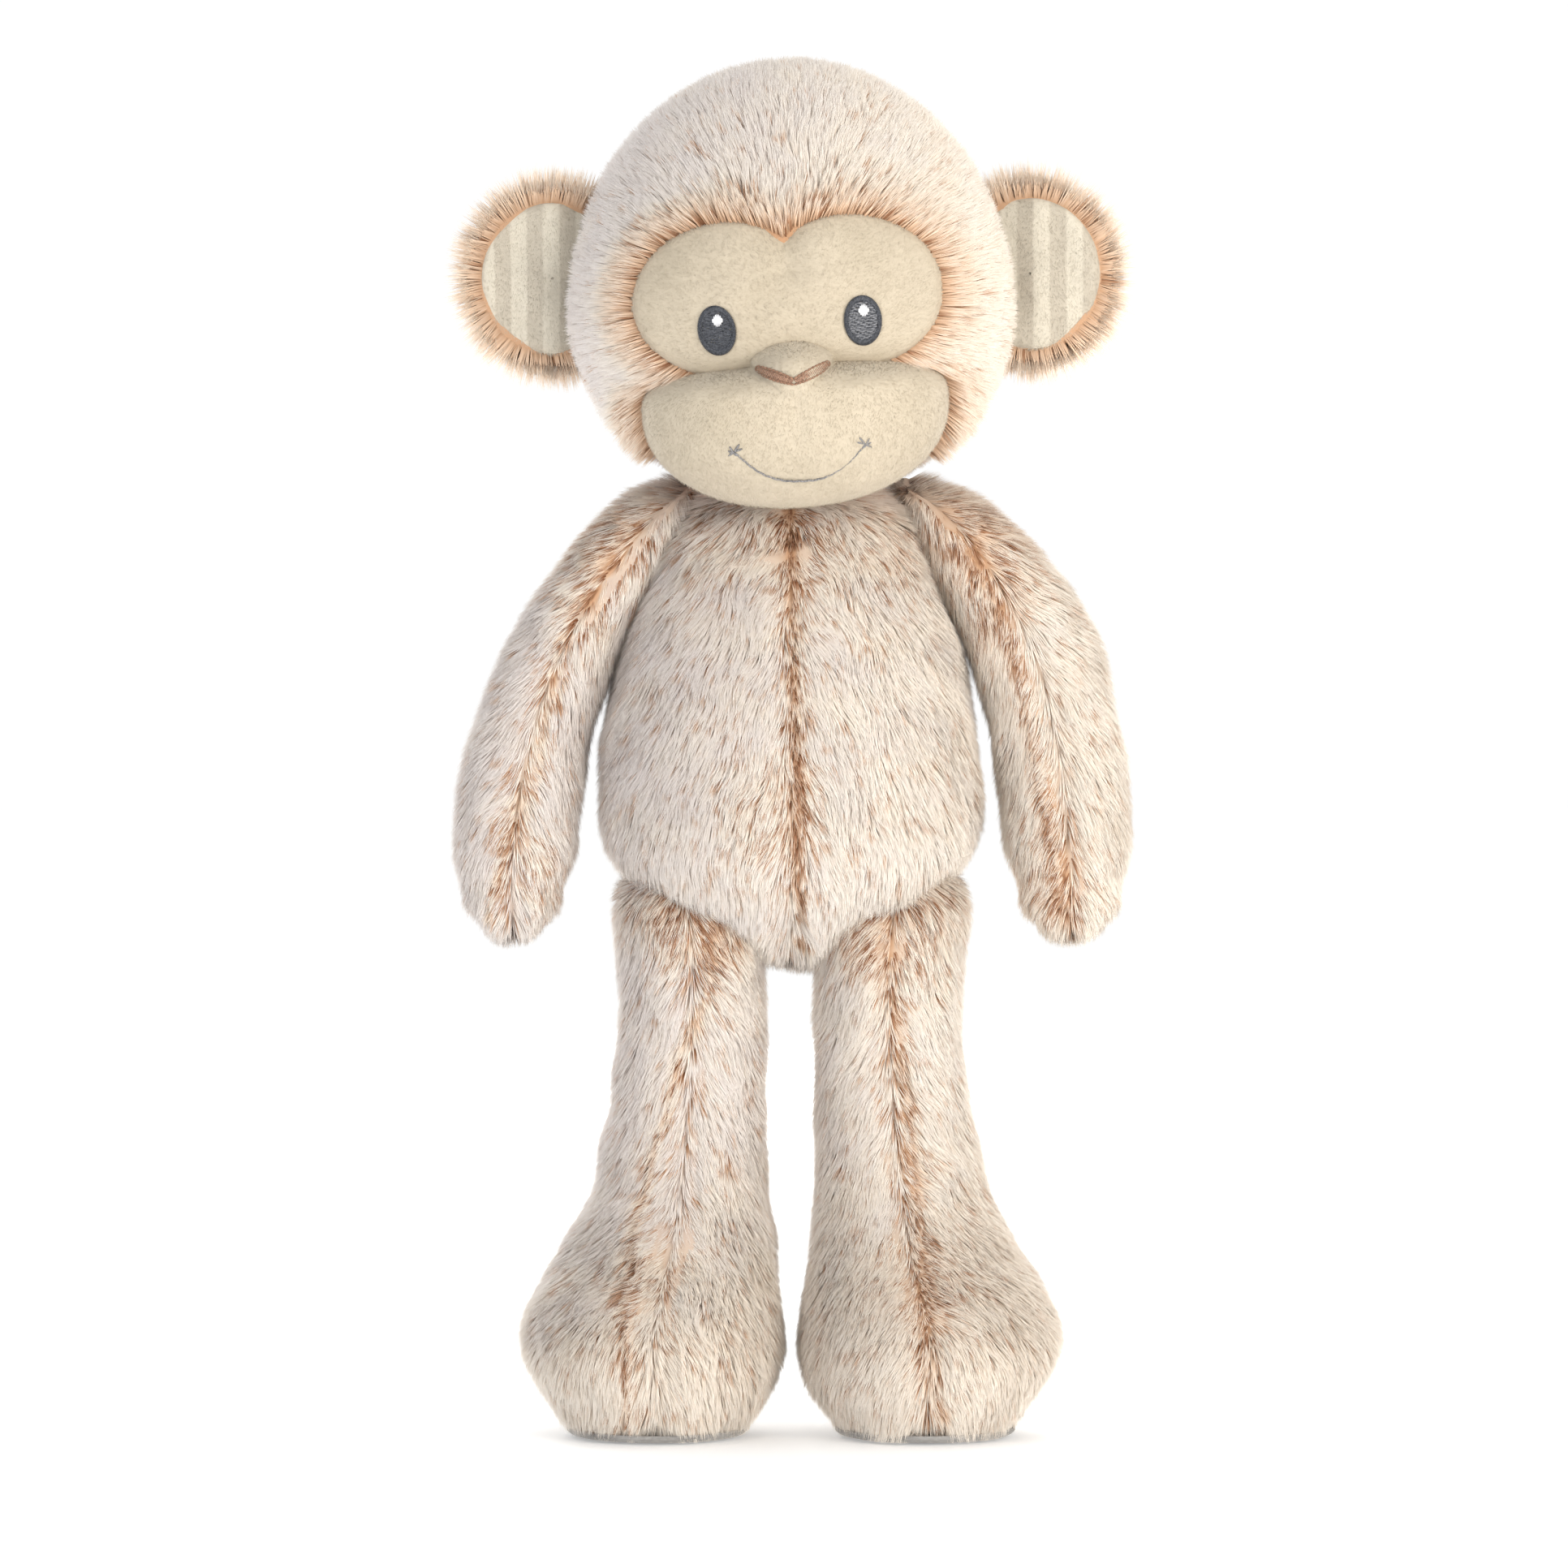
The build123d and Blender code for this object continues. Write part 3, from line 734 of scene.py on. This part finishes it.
def make_eye(name, x, z, tilt):
    """One embroidered eye: a fill of short stitches, a satin rim and a white glint."""
    r = np.random.default_rng(400 + int(x))
    c, s = math.cos(tilt), math.sin(tilt)

    def inside(px, pz):
        u, v = (px - x) * c + (pz - z) * s, (pz - z) * c - (px - x) * s
        return (u / (EYE_W - EYE_RIM)) ** 2 + (v / (EYE_H - EYE_RIM)) ** 2 < 1

    box = x - EYE_W, x + EYE_W, z - EYE_H, z + EYE_H
    fill = brick_rows(inside, *box, 0.36, 1.9, r)
    back = brick_rows(inside, *box, 0.30, 3.0, r)
    stitches(f"{name}_eye_under", None, raised(on_mask, 0.10), back, 0.30, eye_thread)
    stitches(f"{name}_eye_fill", f"{name}_eye", raised(on_mask, 0.34), fill, 0.17, fills[name])
    rim = []
    for a in np.linspace(0, 2 * math.pi, 92, endpoint=False):
        ends = []
        for k, turn in ((0.76, a - 0.03), (1.0, a + 0.03)):
            u, v = EYE_W * k * math.cos(turn), EYE_H * k * math.sin(turn)
            ends.append((x + u * c - v * s, z + u * s + v * c))
        rim.append(ends)
    stitches(f"{name}_eye_rim", None, raised(on_mask, 0.40), rim, 0.24, eye_thread)
    glint = []
    for k in np.linspace(-1, 1, 7):
        half = 1.45 * math.sqrt(max(1 - k * k, 0.12))
        across, middle = x + 0.3 + 1.05 * k, z + 2.35
        glint.append([(across, middle - half), (across, middle + half)])
    node = f"{name}_eye_glint"
    stitches(f"{name}_glint", node, raised(on_mask, 0.66), glint, 0.24, glint_thread)


def make_nostril(name, side):
    """One leaf-shaped nostril: satin across the leaf, in a darker outline."""
    t = np.linspace(0, 1, 21)
    x = side * (8.4 - 8.3 * t)
    z = -5.0 - 3.7 * t**0.85
    half = 1.0 * np.sin(math.pi * (0.10 + 0.78 * t**0.8)) ** 0.7 + 0.2
    top, low = z + half, z - half * 0.9
    fill = []
    for k in np.linspace(0.5, 19, 22):
        px, a, b = (np.interp(k, np.arange(21), line) for line in (x, top, low))
        fill.append([(px - side * 0.5, a - 0.2), (px + side * 0.5, b + 0.2)])
    node = f"{name}_nostril"
    stitches(f"{name}_nostril_fill", node, on_muzzle, fill, 0.27, nostril_fill)
    outline = []
    for line in (top, low):
        for k in range(0, 20, 2):
            outline.append([(x[k], line[k]), (x[k + 2], line[k + 2])])
    outline.append([(x[0], top[0]), (x[0] + side * 0.3, z[0]), (x[0], low[0])])
    over = raised(on_muzzle, 0.18)
    stitches(f"{name}_nostril_rim", None, over, outline, 0.30, nostril_edge)


def make_smile():
    """The smile: a line of short overlapping stitches, with a small fork at each end."""
    points = [
        (-15.2, -24.0), (-10.0, -28.9), (-5.0, -31.3), (0, -32.0), (5.5, -31.6), (11.0, -28.8), (15.8, -24.3),
    ]
    line = smooth_rows([(a, b, 0) for a, b in points], 64)
    strokes = []
    for k in range(0, 62, 2):
        end = min(k + 3, 63)
        shift = 0.12 if (k // 2) % 2 else -0.12
        strokes.append([(line[k, 0], line[k, 1] + shift), (line[end, 0], line[end, 1] - shift)])
    for side in (-1, 1):
        x, z = points[0] if side < 0 else points[-1]
        for dx, dz in ((2.3, 0.5), (1.6, 1.6), (-1.4, -0.9)):
            strokes.append([(x - side * 0.2, z), (x + side * dx * -0.9, z + dz)])
            strokes.append([(x, z - 0.4), (x + side * dx * 0.55, z + dz * 0.9 - 0.2)])
    stitches("smile_stitches", "smile", on_muzzle, strokes, 0.27, smile_thread)


# ---------------------------------------------------------------- ears

EAR_X, EAR_Y, EAR_Z, LINING_R = 57.0, 0.5, 276.7, 17.4


def ear_surface(profile, side, rows, columns=73):
    """A surface turned about the ear's middle, from a profile of radius and depth."""
    r, y = smooth_rows([(a, b, 0) for a, b in profile], rows)[:, :2].T
    turn = np.linspace(0, 2 * math.pi, columns)
    wave = 0.5 * np.sin(3 * turn + side) * (r[:, None] / 20)
    x = side * (EAR_X + r[:, None] * np.sin(turn) * 0.98)
    z = EAR_Z + r[:, None] * np.cos(turn) * 1.04 + side * 0.6
    return np.stack([x, MID_Y + EAR_Y + y[:, None] + wave, z], axis=2)


def make_ear(name, side):
    middle = np.array([side * EAR_X, 0, EAR_Z])
    back = [(0.3, 6.5), (8, 6.1), (14, 4.8), (17.6, 2.2), (18.6, -0.6), (17.8, -2.7), (16.2, -3.2)]
    p = ear_surface(back, side, 26)
    p = p[:, ::side]
    n = grid_normals(p)
    flow = along_surface((p - middle) * [1, 0, 1] + [0, -1.5, 0], n)

    def coat(place, normal):
        front = np.clip((-normal[:, 1] + 0.45) * 1.5, 0, 1)
        base = WARM + 0.05 * waves(place, 12, 52)
        tint = base + (ORANGE - 0.09 - base) * front
        return tint, 1.05 + 0.35 * front, 0.30 + 0.30 * front, np.full(len(place), 0.5)

    def outside_head(q):
        return np.abs(q[:, 0]) > head_half(q[:, 2]) - 5.0

    piece = furry(f"{name}_ear_fur", p, n, flow, coat, 200 + side, keep=outside_head)
    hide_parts(f"{name}_ear_back", f"{name}_ear_padding")
    front = [(0.3, -4.6), (6, -4.5), (11, -4.2), (15.5, -3.8), (LINING_R, -2.6), (LINING_R - 0.6, -1.4)]
    p = ear_surface(front, side, 22)
    p[..., 1] += 0.5 * waves(p, 14, 61 + side, 2) - 0.9 * np.exp(-(((p[..., 0] - side * 59) / 3.5) ** 2))
    p = p[:, ::-side]
    n = grid_normals(p)
    flow = along_surface(np.broadcast_to([0.0, 0.0, -1.0], p.shape), n)
    lining = napped(f"{name}_ear_lining_velour", p, n, flow, striped, 220 + side, keep=outside_head)
    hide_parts(f"{name}_ear_lining")
    for part in (piece, lining):
        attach(part, f"{name}_ear")


# ---------------------------------------------------------------- torso and limbs

# Rings of the lying pile: x, y, z, half-width, half-depth, with y from the torso's vertical axis
TORSO_RINGS = [
    (0, 2, 230.0, 14, 13),
    (0, 1, 227.5, 22, 18),
    (0, 0, 222.0, 29.5, 23),
    (0, 0, 214.0, 34.0, 27),
    (0, 0, 204.0, 37.5, 31),
    (0, 0, 189.0, 42.0, 35),
    (0, 0, 168.0, 45.8, 38),
    (0, 0, 150.0, 47.0, 39),
    (0, 0, 140.0, 45.5, 37),
    (0, 0, 133.0, 41.0, 33.5),
    (0, 0, 127.5, 34.0, 28),
    (0, 0, 122.5, 25.0, 21),
    (0, 0, 117.5, 16.0, 13.5),
    (0, 0, 113.4, 9.0, 8),
    (0, 0, 111.4, 0.1, 0.1),
]
ARM_RINGS = [
    (27.0, 1, 229.5, 0.1, 0.1),
    (29.0, 1, 229.0, 5.5, 6),
    (33.5, 0.5, 225.8, 10.5, 11),
    (39.4, 0, 218.0, 14.6, 14.5),
    (44.6, 0, 209.0, 16.2, 15.8),
    (50.0, 0, 199.0, 16.3, 16),
    (55.6, 0, 187.0, 15.8, 16),
    (61.4, 0, 170.0, 16.4, 16.5),
    (64.8, 0, 153.0, 17.0, 17.2),
    (66.0, 0, 141.0, 16.7, 16.8),
    (66.8, 0, 133.0, 14.4, 14.6),
]
ARM_TIP_DROP = 15.0  # how far the hand's round end reaches below the last ring
LEG_RINGS = [
    (27.0, 0, 141.0, 0.1, 0.1),
    (26.8, 0, 139.5, 9.0, 9),
    (25.8, -0.5, 134.0, 16.0, 16),
    (24.6, -1, 127.0, 19.3, 19.5),
    (23.7, -1, 116.0, 19.4, 20),
    (23.4, -1, 105.0, 19.3, 20),
    (23.7, 0, 90.0, 20.0, 20),
    (24.9, 0.5, 75.0, 20.7, 20.5),
    (26.5, -1.2, 60.0, 22.5, 23),
    (28.6, -4.4, 48.5, 26.2, 27.5),
    (31.0, -8.4, 38.5, 29.8, 33),
    (32.6, -11.2, 29.5, 32.0, 37),
    (33.0, -12.0, 22.0, 32.4, 38),
    (32.6, -12.0, 14.5, 30.4, 36.5),
    (32.2, -12.0, 8.5, 27.0, 33),
    (32.0, -12.0, 4.0, 23.2, 29),
    (32.0, -12.0, 1.0, 20.0, 25.5),
]
NECK_RINGS = [
    (0, 3, 244.0, 0.1, 0.1),
    (0, 3, 242.0, 9.0, 9),
    (0, 3, 236.0, 15.0, 14.5),
    (0, 3, 228.0, 17.0, 16.5),
    (0, 2, 219.0, 18.0, 17),
]


def blurred(x, width):
    """A soft bump: 1 where x is 0, and fading away over width."""
    return np.exp(-((x / width) ** 2))


def limb(rings, side, rows, columns, lumps, seed, dents=None):
    """The skin of a stuffed tube: rings of lying pile, drawn in at the seams, with its nap and normals."""
    placed = [(side * x, MID_Y + y, z, rx, ry) for x, y, z, rx, ry in rings]
    p = tube(placed, rows, columns)
    n = grid_normals(p)
    turn = np.linspace(0, 2 * math.pi, columns + 1)
    ring = smooth_rows(placed, rows)
    girth = np.maximum(ring[:, 3:4], 1.0)
    seam = np.minimum(np.abs(np.sin(turn / 2)), np.abs(np.cos(turn / 2))) * 2 * girth
    sewn = SEAM_DEPTH * blurred(seam, SEAM_WIDTH) * np.clip(girth / 13, 0, 1) ** 2
    drop = SKIN_DEPTH + sewn - lumps * waves(p, 26, seed, 2)
    if dents:
        drop = drop + dents(p)
    # The skin is drawn in sideways by three quarters of a ring's half-width at most, so it can't cross over
    level = np.where(n[..., 2] < 0, np.maximum(np.hypot(n[..., 0], n[..., 1]), 0.05), 1.0)
    tight = np.minimum(drop, (0.75 * girth + 0.3) / level)
    away = np.sign(np.sin(2 * turn)) * np.clip(np.abs(np.sin(2 * turn)) * 6, 0, 1)
    spread = away * (0.10 + 0.48 * blurred(seam, 8.5))
    down = along_surface(np.gradient(p, axis=0), n)
    flow = along_surface(down + unit(across_grid(p)) * spread[..., None], n)
    return p - n * tight[..., None], n, flow


def limb_coat(seam_x, patches, seed, strength=1.0):
    """Brown roots show along the front and back seams, and in patches: x, z, width, height and share. Painted
    shade makes the pile cooler and darker on the toy's right, and painted light makes it lighter towards the
    feet.
    """

    def coat(place, normal):
        # Painted shade: cooler and darker on the toy's right, away from the key lamp, and warmer and lighter
        # on its left.
        side = np.clip(0.5 + place[:, 0] / 110, 0, 1)
        base = COOL + (WARM - COOL) * side + 0.05 * waves(place, 15, seed)
        # Painted light: the pile is lighter and warmer towards the floor, standing in for light bounced up
        # off it.
        base = np.minimum(base + 0.24 * blurred(place[:, 2], 42), WARM + 0.02)
        gap = np.abs(place[:, 0] - seam_x(place[:, 2]))
        front = np.abs(normal[:, 1]) > 0.55
        ragged = np.clip(0.5 + 0.7 * waves(place, 9, seed + 4), 0, 1)
        seam = blurred(gap, 1.2) * front * strength
        under = np.clip(-normal[:, 2] * 3 - 1.7, 0, 1)
        patch = np.zeros(len(place))
        for x, z, width, height, share in patches:
            patch += share * blurred(place[:, 0] - x, width) * blurred(place[:, 2] - z, height)
        broken = 0.3 + 0.7 * ragged
        warm = np.clip(1.2 * seam * broken + 0.42 * patch * broken, 0, 1)
        parting = 0.9 + 4.2 * patch + 3.6 * blurred(gap, 2.4) * front * strength
        tint = base + warm * (ORANGE + 0.19 - base)
        return tint, 1 - 0.5 * seam, PILE_RISE + 0.25 * seam + 0.9 * under, parting

    return coat


def make_torso():
    def dents(p):
        """The crease across the chest on the toy's right, and the swelling above it."""
        x, z = p[..., 0], p[..., 2]
        front = p[..., 1] < MID_Y
        fold = (z - (216.0 + 0.26 * x)) / 2.2
        crease = 2.3 * np.exp(-(fold**2)) * (np.abs(x + 10) < 14) * front
        swell = -1.5 * np.exp(-((fold - 3.0) ** 2) / 4) * (np.abs(x + 10) < 14) * front
        return crease + swell

    p, n, flow = limb(TORSO_RINGS, 1, 74, 120, 0.9, 11, dents)
    patches = [(-22, 214, 14, 7, 0.5), (24, 214, 12, 9, 0.5), (1, 214, 8, 10, 0.8), (-6, 150, 10, 14, 0.6)]
    coat = limb_coat(lambda z: 2.0 - 0.02 * (z - 115), patches, 12)
    quarter = (p.shape[1] - 1) // 4
    panels = {
        "torso_front_left_fur": ("left_torso_front_panel", 0),
        "torso_back_left_fur": ("left_torso_back_panel", 1),
        "torso_back_right_fur": ("right_torso_back_panel", 2),
        "torso_front_right_fur": ("right_torso_front_panel", 3),
    }
    for name, (node, k) in panels.items():
        pick = slice(k * quarter, (k + 1) * quarter + 1)
        piece = furry(name, p[:, pick], n[:, pick], flow[:, pick], coat, 500 + 20 * k)
        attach(piece, "torso")
        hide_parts(node, *(("torso_stuffing",) if k == 0 else ()))


def halves(name, side, p, n, flow, coat, seed, nodes):
    """The outer and inner panels of a limb, either side of its front and back seams."""
    half = (p.shape[1] - 1) // 2
    made = []
    for k, part in enumerate(("outer", "inner") if side > 0 else ("inner", "outer")):
        pick = slice(k * half, (k + 1) * half + 1)
        piece = furry(f"{name}_{part}_fur", p[:, pick], n[:, pick], flow[:, pick], coat, seed + 40 * k)
        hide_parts(f"{name}_{part}_panel", *(nodes if part == "outer" else ()))
        made.append(piece)
    return made


def make_arm(name, side):
    rings = ARM_RINGS + capped(ARM_RINGS[-1], ARM_TIP_DROP)
    if side < 0:  # the toy's right arm starts nearer to the neck, and its left one is plumper
        rings = [(x - 4.6 * float(blurred(z - 222, 26)), y, z, rx, ry) for x, y, z, rx, ry in rings]
    else:
        full = [float(blurred(z - 190, 26)) for _, _, z, _, _ in rings]
        rings = [(x + 2.4 * k, y, z, rx + 2.4 * k, ry) for (x, y, z, rx, ry), k in zip(rings, full)]
    p, n, flow = limb(rings, side, 66, 72, 0.6, 21 + side)
    patches = [(side * 40, 216, 12, 10, 1.0), (side * 47, 200, 7, 12, 0.8), (side * 62, 135, 8, 12, 0.7)]
    heights = [125, 140, 190, 215]
    seam = [66, 64.5, 53, 42] if side > 0 else [71, 68, 54, 38]
    coat = limb_coat(lambda z: side * np.interp(z, heights, seam), patches, 30 + side, 0.75 + 0.2 * side)
    nodes = (f"{name}_arm_stuffing", f"{name}_shoulder_stuffing")
    for piece in halves(f"{name}_arm", side, p, n, flow, coat, 600 + 100 * side, nodes):
        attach(piece, f"{name}_arm")


def make_leg(name, side):
    p, n, flow = limb(LEG_RINGS, side, 96, 84, 0.8, 41 + side)
    patches = [(side * 26, 127, 14, 7, 0.8), (side * 21, 120, 8, 7, 1.3), (side * 33, 40, 7, 9, 0.4)]
    heights = [5, 45, 75, 110, 135]
    seam = [35, 30, 27, 23.5, 23] if side > 0 else [39, 36.5, 30, 21, 19]
    coat = limb_coat(lambda z: side * np.interp(z, heights, seam), patches, 50 + side, 0.7)
    nodes = (f"{name}_leg_stuffing",)
    for piece in halves(f"{name}_leg", side, p, n, flow, coat, 900 + 100 * side, nodes):
        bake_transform(piece)

    # The sole is a slightly crowned oval, as large as its CAD node
    low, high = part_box(f"{name}_sole")
    centre, half = (low + high) / 2 / MM, (high - low) / 2 / MM
    turn = np.linspace(0, 2 * math.pi, 97)
    edge = [(0.001, 0.3, 0), (0.5, 0.15, 0), (0.88, 0.25, 0), (0.99, 1.1, 0), (1.0, 2.2, 0)]
    reach, height = smooth_rows(edge, 24)[:, :2, None].transpose(1, 0, 2)
    q = np.stack([
        centre.x + half.x * reach * np.sin(turn),
        centre.y - half.y * reach * np.cos(turn),
        np.repeat(height, 97, axis=1) + 0.1,
    ], axis=2)
    sole = mesh_piece(f"{name}_sole_plush", q.reshape(-1, 3), grid_faces(*q.shape[:2]), sole_plush)
    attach(sole, f"{name}_leg")
    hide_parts(f"{name}_sole")


def make_neck():
    """The furry neck between the torso's top and the opening in the head."""
    p, n, flow = limb(NECK_RINGS, 1, 20, 40, 0.3, 71)
    coat = limb_coat(lambda z: 0 * z, [(0, 225, 30, 20, 0.6)], 72)
    piece = furry("neck_fur", p, n, flow, coat, 1300, length=6.0)
    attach(piece, "neck")
    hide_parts("neck_stuffing")


# ---------------------------------------------------------------- stage


# The studio's light from the toy's right and left, and the white behind it
SHADE_SIDE, LIGHT_SIDE, SWEEP = (0.57, 0.595, 0.625), (0.92, 0.895, 0.85), (1.02, 1.02, 1.02)
FLOOR_GLOW = 0.25  # lifts the floor to the white of the sweep, and leaves the contact shadow
LENS, SENSOR, ELEVATION = 240.0, 36.0, math.radians(2.0)
VIEW_WIDTH, AIM_X, AIM_Z = 0.3755, -0.0017, 0.1552  # metres across the picture at the toy, and its middle
LAMP_AIM = Vector((0, 0, 0.16))


def make_stage():
    """A white floor and sweep, soft studio light, and the camera in front of the toy."""
    world = bpy.data.worlds.new("studio")
    bpy.context.scene.world = world
    world.use_nodes = True
    nodes, links = world.node_tree.nodes, world.node_tree.links
    place = nodes.new("ShaderNodeTexCoord")
    split = nodes.new("ShaderNodeSeparateXYZ")
    links.new(place.outputs["Generated"], split.inputs["Vector"])
    behind = add_ramp(nodes, links, split.outputs["Y"], [(0.0, (0, 0, 0)), (0.75, (1, 1, 1))], True)
    across = add_math(nodes, links, "MULTIPLY_ADD", split.outputs["X"], 0.5, 0.5)
    sides = add_ramp(nodes, links, across, [(0.05, SHADE_SIDE), (0.95, LIGHT_SIDE)], True)
    links.new(add_mix(nodes, links, behind, sides, SWEEP), nodes["Background"].inputs["Color"])

    material, nodes, links, shader = new_material("white floor", 0.9)
    shader.inputs["Base Color"].default_value = (0.93, 0.93, 0.93, 1)
    shader.inputs["Emission Color"].default_value = (1, 1, 1, 1)
    shader.inputs["Emission Strength"].default_value = FLOOR_GLOW
    bpy.ops.mesh.primitive_plane_add(size=8, location=(0, 0, 0))
    floor = bpy.context.object
    floor.name = "floor"
    floor.data.materials.append(material)

    for name, place, size, power, colour in (
        ("key", (0.95, -1.30, 0.36), 0.66, 16.0, (1.0, 0.97, 0.92)),
        ("fill", (-1.0, -1.3, 0.17), 0.32, 6.3, (0.95, 0.97, 1.0)),
        ("top", (0.1, 0.2, 1.5), 1.0, 2.5, (1.0, 0.99, 0.97)),
        ("back", (-0.5, 1.4, 0.5), 0.9, 12.0, (1.0, 0.985, 0.96)),
    ):
        light = bpy.data.lights.new(name, "AREA")
        light.energy, light.size, light.color = power, size, colour
        lamp = bpy.data.objects.new(name, light)
        bpy.context.scene.collection.objects.link(lamp)
        lamp.location = place
        lamp.rotation_euler = (LAMP_AIM - lamp.location).to_track_quat("-Z", "Y").to_euler()

    camera = bpy.data.cameras.new("camera")
    camera.sensor_width, camera.lens = SENSOR, LENS
    seen = bpy.data.objects.new("camera", camera)
    bpy.context.scene.collection.objects.link(seen)
    bpy.context.scene.camera = seen
    aim = Vector((AIM_X, MID_Y * MM, AIM_Z))
    away = VIEW_WIDTH * LENS / SENSOR
    seen.location = aim + away * Vector((0, -math.cos(ELEVATION), math.sin(ELEVATION)))
    seen.rotation_euler = (aim - seen.location).to_track_quat("-Z", "Y").to_euler()
    bpy.context.scene.view_settings.view_transform = "Standard"


make_head()
make_face()
make_eye("left", 17.2, 4.6, math.radians(-1))
make_eye("right", -17.2, 4.6, math.radians(8))
make_nostril("left", 1)
make_nostril("right", -1)
make_smile()
make_torso()
make_neck()
for limb_side, sign in (("left", 1), ("right", -1)):
    make_ear(limb_side, sign)
    make_arm(limb_side, sign)
    make_leg(limb_side, sign)
make_stage()
